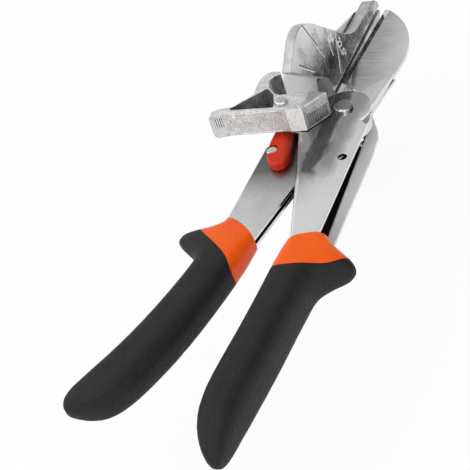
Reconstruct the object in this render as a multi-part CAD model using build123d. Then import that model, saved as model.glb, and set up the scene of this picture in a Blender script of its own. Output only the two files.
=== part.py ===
from build123d import *
import math
import os

# Mitre shears: a hand tool that cuts soft strip at a set angle on a marked table.
# The pivot axis is Z, with the origin on it, half way through the tool.
# X runs from the anvil jaw towards the blade jaw and Y from the grips towards the nose.
# The handles stand nearly closed, as the tool lies when it is put down.

# Whole tool
JAW_LENGTH = 95.0
JAW_DEPTH = 41.0
HANDLE_LENGTH = 182.0
REST_OPENING = 3.1
OVERRUN = 3.0
FIT = 0.05
SLIDE_GAP = 0.1

# Anvil frame, the outer channel
FRAME_HEIGHT = 18.0
FRAME_SHEET = 1.5
FRAME_WIDTH = 31.0
FRAME_HUB_RADIUS = 12.5
FRAME_BEND_RADIUS = 2.4
HANG_HOLE_RADIUS = 2.1

# Blade frame, the inner channel
ARM_HEIGHT = 5.0
ARM_SHEET = 1.5
ARM_OFFSET = 32.4
ARM_HUB_RADIUS = 11.0
ARM_BEND_RADIUS = 1.2

# Blade
BLADE_WIDTH = 26.0
BLADE_BITE = 1.2
BEVEL_WIDTH = 3.2
EDGE_THICKNESS = 0.3
BLADE_PIN_RADIUS = 1.5
BLADE_PIN_CIRCLE = 8.0

# Anvil casting with its marked table
TABLE_OFFSET = 13.5
WING_SPAN = 46.7
WING_THICKNESS = 4.5
WING_LEAN = 5.0
NOSE_THICKNESS = 6.0
SLOT_WIDTH = 2.6
SLOT_DEPTH = 5.0
STRIP_THICKNESS = 1.6
CASTING_GAP = 0.3
MARK_WIDTH = 0.6
MARK_DEPTH = 0.4
MARK_STEP = 22.5
ANVIL_RIVET_RADIUS = 2.0
RIVET_HEAD_RADIUS = 3.3
RIVET_HEAD_HEIGHT = 1.2
HEAD_TURN_SHARE = 0.45

# Pivot
BOLT_RADIUS = 3.0
BOLT_HEAD_RADIUS = 4.4
BOLT_HEAD_HEIGHT = 1.8
BUSH_WALL = 1.5
SPACER_WALL = 2.0
SLEEVE_WALL = 0.75
WASHER_RADIUS = 5.5
WASHER_THICKNESS = 0.8
NUT_WIDTH = 10.0
NUT_HEIGHT = 4.0
BOLT_TIP = 0.8

# Handle spring
SPRING_WIRE = 1.4
SPRING_RADIUS = 6.5
SPRING_QUARTER_TURNS = 6
SPRING_GAP = 0.45
SPRING_LEG = 5.0
SPRING_HOOK_RADIUS = 1.6
SPRING_HOLE_RADIUS = 1.25

# Lock lever and its catch
LEVER_REACH = 18.0
LEVER_PLATE = 2.0
LEVER_THICKNESS = 4.2
LEVER_EAR_RADIUS = 2.7
LEVER_ROUNDING = 1.2
LEVER_RIVET_RADIUS = 1.3
LEVER_HEAD_RADIUS = 2.6
LEVER_HEAD_HEIGHT = 1.3
LEVER_HEAD_GAP = 0.5
LEVER_WASHER = 0.4
CATCH_RADIUS = 1.5
CATCH_GAP = 0.25

# Angle stop
STOP_LENGTH = 33.0
STOP_DEPTH = 23.0
STOP_HEIGHT = 12.8
STOP_CORNER_RADIUS = 1.6
STOP_EDGE_RADIUS = 0.6
STOP_END_RADIUS = 4.0
STOP_WASHER = 0.3
STOP_RIVET_RADIUS = 2.0
STOP_HEAD_RADIUS = 2.9
STOP_HEAD_HEIGHT = 1.7
RIB_COUNT = 9
RIB_DEPTH = 0.5
GROOVE_TURN = 45.0

# Grips
GRIP_HALF_WIDTH = 10.4
GRIP_HALF_HEIGHT = 11.0
SLIM_GRIP_HALF_HEIGHT = 8.5
GRIP_SQUARENESS = 3.2
TIP_SQUARENESS = 2.0
TAPER_SHARE = 0.75
SECTION_POINTS = 12
SECTION_STEPS = 2

# Outlines of the frames, as shares of depth or width (X) and of length (Y)
ARM_BACK_SHARES = [(-0.64, 0.65), (-1.0, 0.27), (-0.89, 0.09)]
FRAME_EAR_SHARE = (-0.68, -0.16)
FRAME_TIP_SHARE = 0.85
FRAME_HEEL_SHARES = (-0.40, 0.12)
FRAME_SHOULDER_SHARE = 0.21
FRAME_LEFT_SHARES = [(-0.53, -0.10), (-0.265, -0.235), (0.115, -0.445), (0.07, -0.65), (0.05, -0.82)]
FRAME_RIGHT_SHARES = [(0.395, -0.82), (0.445, -0.60), (0.495, -0.41), (0.465, -0.06)]
WEB_START_SHARE = -0.295
HANG_HOLE_SHARES = (0.33, -0.18)
FAR_EAR_SHARES = [(0.44, -0.04), (0.435, -0.003), (0.406, 0.026), (0.226, 0.138), (0.174, 0.168),
                  (0.016, 0.158), (-0.161, 0.12)]
ARM_LEFT_SHARES = [(-0.85, -0.10), (-1.0, -0.125), (-1.0, -0.37), (-1.06, -0.55), (-1.19, -0.69),
                   (-1.39, -0.81)]
ARM_RIGHT_SHARES = [(-1.03, -0.84), (-0.84, -0.70), (-0.64, -0.57), (-0.46, -0.433), (-0.28, -0.254),
                    (0.31, -0.045)]
ARM_HUB_JOIN_SHARES = (-0.32, 0.015)
JAW_PLATE_SHARES = [(0.335, 0.10), (0.42, 0.28), (0.477, 0.37), (0.04, 0.23), (-0.31, 0.075)]

# Outlines of the blade and the casting
BLADE_BACK_SHARES = [(-0.21, 0.90), (0.0, 0.837), (0.204, 0.747), (0.37, 0.606), (0.40, 0.47)]
BLADE_TIP_SHARE = 0.968
BLADE_ROOT_SHARES = [(0.36, 0.285), (0.315, 0.105), (-0.32, 0.07), (-0.03, 0.23), (-0.25, 0.252),
                     (-0.39, 0.281)]
BLADE_HEEL_SHARE = 0.314
WING_LOW_SHARES = [(0.218, 0.216), (0.166, 0.295), (-0.09, 0.748)]
WING_TOP_SHARES = [(-0.076, 0.764), (-0.052, 0.789), (-0.026, 0.825), (0.014, 0.884), (0.043, 0.921),
                   (0.077, 0.945), (0.109, 0.953), (0.137, 0.948), (0.172, 0.925), (0.21, 0.884),
                   (0.26, 0.805), (0.308, 0.715), (0.357, 0.622), (0.418, 0.514), (0.517, 0.338),
                   (0.578, 0.251), (0.639, 0.196), (0.7, 0.174)]
NOSE_START_SHARE = 0.236
NOSE_WIDTH_SHARE = 0.172
MARK_CENTRE_SHARE = 0.3425
MARK_SHARES = [(3, 0.07, 0.50), (4, 0.32, 0.72), (5, 0.47, 1.10), (6, 0.65, 0.98)]
TONGUE_SHARES = [(-0.80, 0.27), (-0.70, 0.50), (-0.45, 0.74)]
ANVIL_RIVET_SHARES = [(-0.63, 0.345), (-0.585, 0.505)]

# Outlines of the angle stop and the lock lever, from their own pivots
STOP_PIVOT_SHARES = (-0.55, -0.145)
STOP_SHARES = [(0.34, -0.12), (0.565, 0.375), (0.38, 0.40), (-0.10, 0.26), (-0.19, 0.31), (-0.32, 0.50),
               (-0.365, 0.70), (-0.33, 0.85), (-0.25, 0.93), (-0.31, 1.02), (-0.41, 1.01), (-0.49, 0.93),
               (-0.525, 0.77), (-0.53, 0.60), (-0.50, 0.255), (-0.69, -0.145), (-0.91, -0.25),
               (-1.0, -0.355), (-1.0, -0.51), (-0.76, -0.385)]
STOP_BOSS_SHARES = [(0.10, -0.14), (0.10, -0.20), (0.3425, -0.1415), (0.33, -0.09)]
STOP_WINDOW_SHARES = [(-0.755, -0.28), (-0.327, 0.443), (-0.18, 0.25), (-0.07, -0.143)]
LEVER_PIVOT_SHARES = (-0.80, -0.153)
LEVER_SHARES = [(-0.17, 0.69), (-0.155, 0.245), (-0.10, -0.02), (-0.05, -0.24), (0.04, -0.41),
                (0.18, -0.53), (0.34, -0.565), (0.48, -0.47), (0.56, -0.24), (0.53, 0.10), (0.361, 0.717),
                (0.30, 1.1), (-0.15, 1.1)]
CATCH_SHARES = (-0.488, -0.0945)

# Grips: each section's place along the handle, its middle, its reach left and right, and its height
GRIP_SHARES = [(-0.385, 0.342, 0.673, 0.731, 0.94), (-0.412, 0.335, 0.692, 0.788, 0.95),
               (-0.429, 0.329, 0.712, 0.904, 0.96), (-0.44, 0.329, 0.731, 1.096, 0.97),
               (-0.451, 0.326, 0.75, 1.442, 0.975), (-0.462, 0.323, 0.769, 1.827, 0.98),
               (-0.473, 0.319, 0.788, 2.096, 0.98), (-0.484, 0.316, 0.798, 2.202, 0.99),
               (-0.495, 0.313, 0.798, 2.154, 0.99), (-0.505, 0.31, 0.798, 1.942, 1),
               (-0.516, 0.306, 0.798, 1.615, 1), (-0.527, 0.303, 0.798, 1.308, 1),
               (-0.541, 0.3, 0.798, 1.077, 1), (-0.56, 0.297, 0.798, 0.971, 1),
               (-0.593, 0.294, 0.798, 0.933, 1), (-0.648, 0.284, 0.798, 0.894, 1),
               (-0.72, 0.268, 0.808, 0.875, 1), (-0.8, 0.242, 0.827, 0.856, 0.99),
               (-0.857, 0.226, 0.817, 0.827, 0.95), (-0.901, 0.229, 0.76, 0.769, 0.87),
               (-0.94, 0.261, 0.644, 0.663, 0.73), (-0.97, 0.31, 0.481, 0.5, 0.55),
               (-0.99, 0.355, 0.298, 0.317, 0.34), (-1, 0.387, 0.096, 0.096, 0.1)]
SLIM_GRIP_SHARES = [(-0.341, -0.694, 0.904, 0.865, 0.56), (-0.374, -0.701, 0.913, 0.875, 0.6),
                    (-0.39, -0.707, 0.923, 0.885, 0.63), (-0.401, -0.713, 1.019, 0.885, 0.66),
                    (-0.412, -0.719, 1.365, 0.894, 0.69), (-0.423, -0.725, 1.93, 0.894, 0.72),
                    (-0.434, -0.731, 2.31, 0.904, 0.75), (-0.445, -0.738, 2.48, 0.913, 0.78),
                    (-0.456, -0.747, 2.48, 0.923, 0.81), (-0.467, -0.756, 2.33, 0.933, 0.84),
                    (-0.478, -0.765, 2.06, 0.942, 0.87), (-0.489, -0.775, 1.70, 0.952, 0.89),
                    (-0.5, -0.784, 1.308, 0.962, 0.91), (-0.514, -0.796, 1, 0.962, 0.93),
                    (-0.538, -0.821, 0.827, 0.971, 0.96), (-0.593, -0.877, 0.788, 0.99, 0.99),
                    (-0.676, -0.975, 0.808, 1.038, 1), (-0.758, -1.093, 0.865, 1.077, 1),
                    (-0.824, -1.216, 0.923, 1.096, 0.99), (-0.874, -1.327, 0.981, 1.115, 0.96),
                    (-0.909, -1.42, 0.981, 1.077, 0.89), (-0.934, -1.5, 0.846, 0.942, 0.76),
                    (-0.949, -1.556, 0.615, 0.692, 0.55), (-0.957, -1.593, 0.356, 0.394, 0.32),
                    (-0.96, -1.611, 0.106, 0.125, 0.1)]

# The front edges of the grips and the borders between their two parts, in the plan
GRIP_FRONT_SHARES = [(-0.258, -0.484), (0.116, -0.458), (0.323, -0.443), (0.539, -0.430),
                     (0.645, -0.425), (1.097, -0.407)]
SLIM_GRIP_FRONT_SHARES = [(-1.667, -0.396), (-1.235, -0.390), (-1.065, -0.386), (-0.926, -0.386),
                          (-0.728, -0.400), (-0.528, -0.425), (-0.373, -0.447), (-0.123, -0.489)]
COLLAR_BORDER_SHARES = [(-0.323, -0.560), (0.0, -0.545), (0.161, -0.542), (0.326, -0.535),
                        (0.606, -0.519), (0.806, -0.501), (0.935, -0.478), (1.0, -0.457), (1.048, -0.429)]
SLIM_COLLAR_BORDER_SHARES = [(-1.667, -0.341), (-1.451, -0.387), (-1.250, -0.429), (-0.981, -0.467),
                             (-0.753, -0.497), (-0.602, -0.521), (-0.448, -0.563), (-0.324, -0.599),
                             (-0.185, -0.643)]


def place(share, width, length):
    """A point of an outline, from its shares of a width and a length."""
    return (share[0] * width, share[1] * length)


def places(shares, width, length):
    """The points of an outline, from their shares of a width and a length."""
    return [place(share, width, length) for share in shares]


def moved(points, offset):
    """Points shifted by an offset."""
    return [(x + offset[0], y + offset[1]) for x, y in points]


def plate(points, low, high, corner=0):
    """A flat plate with straight sides, from one height to another, its corners rounded."""
    face = make_face(Polyline(*points, close=True))
    if corner:
        face = fillet(face.vertices(), corner)
    return Pos(0, 0, low) * extrude(face, amount=high - low)


def disc(centre, radius, low, high):
    """A round solid on an axis along Z."""
    return Pos(centre[0], centre[1], (low + high) / 2) * Cylinder(radius, high - low)


def ring(centre, outer, inner, low, high):
    """A round solid with a bore."""
    return disc(centre, outer, low, high) - disc(centre, inner, low - OVERRUN, high + OVERRUN)


def edges_beside(solid, points, heights):
    """The level edges of a solid that lie over the middles of a path's straight runs."""
    found = []
    for height in heights:
        level = [edge for edge in solid.edges() if abs(edge.center().Z - height) < FIT]
        for start, end in zip(points, points[1:]):
            spot = Vector((start[0] + end[0]) / 2, (start[1] + end[1]) / 2, height)
            found.append(min(level, key=lambda edge: (edge.center() - spot).length))
    return found


# Places that several pieces share
FRAME_TOP = FRAME_HEIGHT / 2
FRAME_INSIDE = FRAME_TOP - FRAME_SHEET
ARM_TOP = ARM_HEIGHT / 2
ARM_INSIDE = ARM_TOP - ARM_SHEET
TABLE_X = -TABLE_OFFSET
TABLE_LEAN = math.radians(WING_LEAN)
NOSE_BACK_X = TABLE_X - NOSE_THICKNESS / math.cos(TABLE_LEAN) - FRAME_TOP * math.tan(TABLE_LEAN)
FRAME_FRONT_X = NOSE_BACK_X - CASTING_GAP
BUSH_RADIUS = BOLT_RADIUS + BUSH_WALL
ANVIL_RIVETS = places(ANVIL_RIVET_SHARES, JAW_DEPTH, JAW_LENGTH)
STOP_PIVOT = place(STOP_PIVOT_SHARES, JAW_DEPTH, JAW_LENGTH)
LEVER_PIVOT = place(LEVER_PIVOT_SHARES, ARM_OFFSET, HANDLE_LENGTH)
CATCH = place(CATCH_SHARES, JAW_DEPTH, JAW_LENGTH)
HANG_HOLE = place(HANG_HOLE_SHARES, FRAME_WIDTH, HANDLE_LENGTH)
SPRING_PITCH = SPRING_WIRE + SPRING_GAP
SPRING_SLOPE = SPRING_PITCH / (2 * math.pi * SPRING_RADIUS)
SPRING_HOOK_Y = -(SPRING_LEG + SPRING_HOOK_RADIUS)


def anvil_frame():
    """The outer channel: the right handle, the hub and the arm behind the anvil."""
    front = FRAME_FRONT_X
    back = places(ARM_BACK_SHARES, JAW_DEPTH, JAW_LENGTH)
    ear = place(FRAME_EAR_SHARE, JAW_DEPTH, JAW_LENGTH)
    heel = place(FRAME_HEEL_SHARES, JAW_DEPTH, JAW_LENGTH)
    tip = (front, FRAME_TIP_SHARE * JAW_LENGTH)
    left = places(FRAME_LEFT_SHARES, FRAME_WIDTH, HANDLE_LENGTH)
    right = places(FRAME_RIGHT_SHARES, FRAME_WIDTH, HANDLE_LENGTH)
    shoulder = (front, FRAME_SHOULDER_SHARE * JAW_LENGTH)
    outline = [shoulder, tip] + back + [ear] + left + right + [(0, 0), heel]
    far_ear = [right[-1]] + places(FAR_EAR_SHARES, FRAME_WIDTH, JAW_LENGTH) + [(0, 0)]
    block = plate(outline, -FRAME_TOP, FRAME_TOP) + disc((0, 0), FRAME_HUB_RADIUS, -FRAME_TOP, FRAME_TOP)
    web_top = WEB_START_SHARE * HANDLE_LENGTH
    handle_inside = plate(moved(left[1:], (FRAME_SHEET, 0)) + moved(right, (FRAME_WIDTH, 0)),
                          -FRAME_INSIDE, FRAME_INSIDE)
    open_middle = plate([(-HANDLE_LENGTH, web_top), (HANDLE_LENGTH, web_top), (HANDLE_LENGTH, back[-1][1]),
                         (-HANDLE_LENGTH, back[-1][1])], -FRAME_INSIDE, FRAME_INSIDE)
    arm_room = moved([tip] + back, (FRAME_SHEET, 0)) + [(JAW_DEPTH, back[-1][1]), (JAW_DEPTH, tip[1])]
    arm_inside = plate(arm_room, -FRAME_INSIDE, FRAME_INSIDE)
    block = fillet(edges_beside(block, left[1:], (-FRAME_TOP, FRAME_TOP)), FRAME_BEND_RADIUS)
    block = fillet(edges_beside(block, [tip] + back, (-FRAME_TOP, FRAME_TOP)), FRAME_BEND_RADIUS)
    frame = block - handle_inside - open_middle - arm_inside
    frame += plate(far_ear, -FRAME_TOP, -FRAME_INSIDE)
    holes = [((0, 0), BOLT_RADIUS + FIT)] + [(spot, ANVIL_RIVET_RADIUS) for spot in ANVIL_RIVETS]
    for spot, radius in holes:
        frame -= disc(spot, radius, -FRAME_HEIGHT, FRAME_HEIGHT)
    frame -= disc(HANG_HOLE, HANG_HOLE_RADIUS, 0, FRAME_HEIGHT)
    frame -= disc(STOP_PIVOT, STOP_RIVET_RADIUS, 0, FRAME_HEIGHT)
    frame -= disc(CATCH, CATCH_RADIUS, 0, FRAME_HEIGHT)
    frame -= disc((SPRING_RADIUS, SPRING_HOOK_Y), SPRING_HOLE_RADIUS, -FRAME_HEIGHT, 0)
    return frame


def blade_frame():
    """The inner channel: the left handle, the hub and the two plates that hold the blade."""
    left = places(ARM_LEFT_SHARES, ARM_OFFSET, HANDLE_LENGTH)
    right = places(ARM_RIGHT_SHARES, ARM_OFFSET, HANDLE_LENGTH)
    join = place(ARM_HUB_JOIN_SHARES, ARM_OFFSET, HANDLE_LENGTH)
    jaw = places(JAW_PLATE_SHARES, BLADE_WIDTH, JAW_LENGTH)
    handle = plate([join] + left + right, -ARM_TOP, ARM_TOP)
    block = handle + plate(jaw + [(0, 0)], -ARM_TOP, ARM_TOP)
    block += disc((0, 0), ARM_HUB_RADIUS, -ARM_TOP, ARM_TOP)
    block = fillet(edges_beside(block, left[1:], (-ARM_TOP, ARM_TOP)), ARM_BEND_RADIUS)
    inside = plate(moved(left[1:], (ARM_SHEET, 0)) + moved(right, (ARM_OFFSET, 0)), -ARM_INSIDE, ARM_INSIDE)
    gap = plate([(-HANDLE_LENGTH, left[1][1]), (HANDLE_LENGTH, left[1][1]), (HANDLE_LENGTH, JAW_LENGTH),
                 (-HANDLE_LENGTH, JAW_LENGTH)], -ARM_INSIDE, ARM_INSIDE)
    frame = block - inside - gap
    frame -= disc((0, 0), BUSH_RADIUS + FIT, -ARM_HEIGHT, ARM_HEIGHT)
    frame -= disc(LEVER_PIVOT, LEVER_RIVET_RADIUS, -ARM_HEIGHT, ARM_HEIGHT)
    frame -= disc((-SPRING_RADIUS, SPRING_HOOK_Y), SPRING_HOLE_RADIUS, -ARM_HEIGHT, 0)
    for spot in blade_pin_places():
        frame -= disc(spot, BLADE_PIN_RADIUS, -ARM_HEIGHT, ARM_HEIGHT)
    return frame


def blade_pin_places():
    """The two pins beside the pivot that key the blade to its frame."""
    side = BLADE_PIN_CIRCLE * math.sqrt(1 / 2)
    return [(side, side), (-side, side)]


def blade():
    """The blade, drawn closed and then swung back to its place at rest."""
    edge_x = TABLE_X - BLADE_BITE
    heel = (edge_x, BLADE_HEEL_SHARE * JAW_LENGTH)
    tip = (edge_x, BLADE_TIP_SHARE * JAW_LENGTH)
    back = places(BLADE_BACK_SHARES, BLADE_WIDTH, JAW_LENGTH)
    root = places(BLADE_ROOT_SHARES, BLADE_WIDTH, JAW_LENGTH)
    curve = Spline(tip, *back)
    lines = Polyline(back[-1], *root, heel, tip)
    body = Pos(0, 0, -ARM_INSIDE) * extrude(make_face(curve + lines), amount=2 * ARM_INSIDE)
    body += disc((0, 0), ARM_HUB_RADIUS, -ARM_INSIDE, ARM_INSIDE)
    across = Plane(origin=(0, heel[1] - OVERRUN, 0), x_dir=(1, 0, 0), z_dir=(0, -1, 0))
    slope = (ARM_INSIDE - EDGE_THICKNESS / 2) / BEVEL_WIDTH
    for side in (1, -1):
        wedge = Polyline((edge_x - OVERRUN, side * (EDGE_THICKNESS / 2 - OVERRUN * slope)),
                         (edge_x + BEVEL_WIDTH + OVERRUN, side * (ARM_INSIDE + OVERRUN * slope)),
                         (edge_x - OVERRUN, side * (ARM_INSIDE + OVERRUN * slope)), close=True)
        body -= extrude(across * make_face(wedge), amount=-JAW_LENGTH)
    body = Rot(0, 0, -REST_OPENING) * body
    body -= disc((0, 0), BUSH_RADIUS + FIT, -ARM_HEIGHT, ARM_HEIGHT)
    for spot in blade_pin_places():
        body -= disc(spot, BLADE_PIN_RADIUS, -ARM_HEIGHT, ARM_HEIGHT)
    return body


def blade_pins():
    """The two flush pins through the blade and the plates on both sides of it."""
    return [disc(spot, BLADE_PIN_RADIUS, -ARM_TOP, ARM_TOP) for spot in blade_pin_places()]


def table_plane(rise=0):
    """The plane of the marked table above the slot, leaning back from it."""
    out = Vector(math.cos(TABLE_LEAN), 0, math.sin(TABLE_LEAN))
    return Plane(origin=Vector(TABLE_X, 0, 0) + out * rise, x_dir=(0, 1, 0), z_dir=out)


def wing_outline():
    """The outline of one half of the casting in the plane of its table."""
    low = places(WING_LOW_SHARES, JAW_LENGTH, WING_SPAN)
    top = places(WING_TOP_SHARES, JAW_LENGTH, WING_SPAN)
    nose_side = NOSE_WIDTH_SHARE * WING_SPAN
    nose_turn = JAW_LENGTH - nose_side
    start = (NOSE_START_SHARE * JAW_LENGTH, 0)
    lines = Polyline(start, *low)
    curve = Spline(low[-1], *top)
    side = Line(top[-1], (nose_turn, nose_side))
    end = RadiusArc((nose_turn, nose_side), (JAW_LENGTH, 0), nose_side)
    return make_face(lines + curve + side + end + Line((JAW_LENGTH, 0), start))


def mark(turn, near_share, far_share):
    """One engraved line of the scale, turned from the line of the slot about the scale's centre."""
    centre = MARK_CENTRE_SHARE * JAW_LENGTH
    near = near_share * WING_SPAN
    far = far_share * WING_SPAN
    groove = Rectangle(far - near, MARK_WIDTH, align=(Align.MIN, Align.CENTER))
    groove = Pos(centre, 0) * Rot(0, 0, turn) * Pos(near, 0) * groove
    return extrude(table_plane(-MARK_DEPTH) * groove, amount=MARK_DEPTH + OVERRUN)


def anvil_casting():
    """The anvil with its marked wings, its slot and the tongue that the outer channel holds."""
    face = wing_outline()
    half = extrude(table_plane() * face, amount=-WING_THICKNESS)
    nose_side = NOSE_WIDTH_SHARE * WING_SPAN
    nose_start = NOSE_START_SHARE * JAW_LENGTH
    bar = face & Pos(nose_start, 0) * Rectangle(JAW_LENGTH, nose_side, align=(Align.MIN, Align.MIN))
    half += extrude(table_plane() * bar, amount=-NOSE_THICKNESS)
    for steps, near, far in MARK_SHARES:
        half -= mark(steps * MARK_STEP, near, far)
    half &= Pos(0, 0, JAW_LENGTH) * Box(HANDLE_LENGTH, 2 * HANDLE_LENGTH, 2 * JAW_LENGTH)
    casting = half + mirror(half, about=Plane.XY)
    tongue_front = TABLE_X - SLOT_DEPTH / 2
    tongue = [(tongue_front, nose_start)] + places(TONGUE_SHARES, JAW_DEPTH, JAW_LENGTH)
    tongue += [(tongue_front, tongue[-1][1])]
    casting += plate(tongue, -FRAME_INSIDE + SLIDE_GAP, FRAME_INSIDE - SLIDE_GAP)
    slot_length = JAW_LENGTH - nose_start + OVERRUN
    slot = Pos(TABLE_X, nose_start, 0) * Box(SLOT_DEPTH, slot_length, SLOT_WIDTH,
                                             align=(Align.MAX, Align.MIN, Align.CENTER))
    casting -= slot + Pos(TABLE_X, nose_start - OVERRUN, 0) * Box(
        OVERRUN, slot_length + OVERRUN, SLOT_WIDTH, align=(Align.MIN, Align.MIN, Align.CENTER))
    for spot in ANVIL_RIVETS:
        casting -= disc(spot, ANVIL_RIVET_RADIUS, -FRAME_HEIGHT, FRAME_HEIGHT)
    return casting


def anvil_strip():
    """The plastic strip at the bottom of the slot that the blade closes over."""
    start = NOSE_START_SHARE * JAW_LENGTH
    length = (FRAME_TIP_SHARE * JAW_LENGTH) - start
    return Pos(TABLE_X - SLOT_DEPTH, start, 0) * Box(STRIP_THICKNESS, length, SLOT_WIDTH,
                                                    align=(Align.MIN, Align.MIN, Align.CENTER))


def domed_head(centre, radius, low, height):
    """A round head with its upper edge turned."""
    head = disc(centre, radius, low, low + height)
    return fillet(head.edges().group_by(Axis.Z)[-1], height * HEAD_TURN_SHARE)


def anvil_rivets():
    """The rivets that hold the casting's tongue in the outer channel."""
    rivets = []
    for spot in ANVIL_RIVETS:
        head = domed_head(spot, RIVET_HEAD_RADIUS, FRAME_TOP, RIVET_HEAD_HEIGHT)
        shank = disc(spot, ANVIL_RIVET_RADIUS, -FRAME_TOP, FRAME_TOP)
        rivets.append(shank + head + mirror(head, about=Plane.XY))
    return rivets


def pivot_bolt():
    """The main bolt, its head on the marked side."""
    head = domed_head((0, 0), BOLT_HEAD_RADIUS, FRAME_TOP, BOLT_HEAD_HEIGHT)
    end = -FRAME_TOP - WASHER_THICKNESS - NUT_HEIGHT - BOLT_TIP
    return head + disc((0, 0), BOLT_RADIUS, end, FRAME_TOP)


def pivot_bush():
    """The bush that both frames turn on."""
    return ring((0, 0), BUSH_RADIUS, BOLT_RADIUS + FIT, -FRAME_INSIDE + FIT, FRAME_INSIDE - FIT)


def upper_spacer():
    """The ring that holds the frames apart above the blade frame."""
    return ring((0, 0), BUSH_RADIUS + FIT + SPACER_WALL, BUSH_RADIUS + FIT, ARM_TOP + FIT, FRAME_INSIDE - FIT)


def lower_spacer():
    """The sleeve inside the spring that holds the frames apart below the blade frame."""
    bore = BUSH_RADIUS + FIT
    return ring((0, 0), bore + SLEEVE_WALL, bore, -FRAME_INSIDE + FIT, -ARM_TOP - FIT)


def pivot_washer():
    """The washer under the nut."""
    return ring((0, 0), WASHER_RADIUS, BOLT_RADIUS + FIT, -FRAME_TOP - WASHER_THICKNESS, -FRAME_TOP)


def pivot_nut():
    """The hexagon nut on the far side."""
    low = -FRAME_TOP - WASHER_THICKNESS - NUT_HEIGHT
    face = RegularPolygon(NUT_WIDTH / 2, 6, major_radius=False) - Circle(BOLT_RADIUS + FIT / 2)
    return Pos(0, 0, low) * extrude(face, amount=NUT_HEIGHT)


def coil_point(turns, low):
    """A point of the spring's coil and the way it runs there, a number of turns from its lower end."""
    turn = 2 * math.pi * turns
    spot = Vector(SPRING_RADIUS * math.cos(turn), SPRING_RADIUS * math.sin(turn), low + SPRING_PITCH * turns)
    return spot, Vector(-math.sin(turn), math.cos(turn), SPRING_SLOPE).normalized()


def biarc(start, start_way, end, end_way):
    """Two arcs that leave one point along one way and reach another along another way."""
    span = end - start
    bend = 2 * (1 - start_way.dot(end_way))
    pull = span.dot(start_way + end_way)
    reach = (math.sqrt(pull**2 + bend * span.dot(span)) - pull) / bend
    middle = (start + end + (start_way - end_way) * reach) / 2
    across = (end - start + (start_way + end_way) * -reach).normalized()
    return [TangentArc(start, middle, tangent=start_way), TangentArc(middle, end, tangent=across)]


def handle_spring():
    """The torsion spring round the pivot that pushes the handles apart, its legs hooked into both frames."""
    up = Vector(0, 0, 1)
    low = -FRAME_INSIDE + SPRING_WIRE / 2 + SLIDE_GAP + SPRING_LEG * SPRING_SLOPE
    knots = [coil_point(number / 4, low) for number in range(SPRING_QUARTER_TURNS + 1)]
    first, first_way = knots[0]
    last, last_way = knots[-1]
    hook = SPRING_HOOK_RADIUS
    leg_start = first - first_way * SPRING_LEG
    leg_end = last + last_way * SPRING_LEG
    foot = Vector(first.X, SPRING_HOOK_Y, leg_start.Z - hook)
    head = Vector(last.X, SPRING_HOOK_Y, leg_end.Z + hook)
    foot_end = Vector(foot.X, foot.Y, -FRAME_TOP)
    lines = [Line(foot_end, foot)] + biarc(foot, up, leg_start, first_way) + [Line(leg_start, first)]
    for (start, start_way), (end, end_way) in zip(knots, knots[1:]):
        lines += biarc(start, start_way, end, end_way)
    head_end = Vector(head.X, head.Y, -ARM_INSIDE - FIT)
    lines += [Line(last, leg_end)] + biarc(leg_end, last_way, head, up) + [Line(head, head_end)]
    path = Wire([line.edge() for line in lines])
    section = Plane(origin=foot_end, z_dir=up) * Circle(SPRING_WIRE / 2)
    turns = [coil_point(number / 40, low)[0] for number in range(10 * SPRING_QUARTER_TURNS + 1)]
    gap = min((one - other).length for one, other in zip(turns, turns[40:])) - SPRING_WIRE
    print("least gap between the spring's turns", round(gap, 3))
    return sweep(section, path=path)


def lock_lever():
    """The lock lever: a rounded thumb piece that swings its end under the catch."""
    low = ARM_TOP + LEVER_WASHER
    shape = moved(places(LEVER_SHARES, LEVER_REACH, LEVER_REACH), LEVER_PIVOT)
    body = plate(shape, low, low + LEVER_THICKNESS)
    body = fillet(body.edges().group_by(Axis.Z)[-1], LEVER_ROUNDING)
    body &= disc(LEVER_PIVOT, LEVER_REACH, low - OVERRUN, FRAME_HEIGHT)
    body -= disc((0, 0), catch_track(), low - OVERRUN, FRAME_HEIGHT)
    body -= disc(LEVER_PIVOT, LEVER_HEAD_RADIUS + LEVER_HEAD_GAP, low + LEVER_PLATE, FRAME_HEIGHT)
    body += disc(LEVER_PIVOT, LEVER_EAR_RADIUS, low, low + LEVER_PLATE)
    return body - disc(LEVER_PIVOT, LEVER_RIVET_RADIUS + FIT, 0, FRAME_HEIGHT)


def catch_track():
    """The outer radius that the catch sweeps about the main pivot, with its clearance."""
    return math.hypot(*CATCH) + CATCH_RADIUS + CATCH_GAP


def lock_lever_rivet():
    """The rivet that the lock lever swings on."""
    low = ARM_TOP + LEVER_WASHER + LEVER_PLATE + SLIDE_GAP
    head = domed_head(LEVER_PIVOT, LEVER_HEAD_RADIUS, low, LEVER_HEAD_HEIGHT)
    foot = disc(LEVER_PIVOT, LEVER_HEAD_RADIUS, -ARM_TOP - LEVER_HEAD_HEIGHT / 2, -ARM_TOP)
    return head + foot + disc(LEVER_PIVOT, LEVER_RIVET_RADIUS, -ARM_TOP, low)


def lock_lever_washer():
    """The washer between the lock lever and the blade frame."""
    top = ARM_TOP + LEVER_WASHER - FIT
    return ring(LEVER_PIVOT, LEVER_HEAD_RADIUS, LEVER_RIVET_RADIUS + FIT, ARM_TOP, top)


def lock_catch():
    """The stud under the outer channel that the lock lever holds."""
    return disc(CATCH, CATCH_RADIUS, ARM_TOP + CATCH_GAP, FRAME_TOP)


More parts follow.
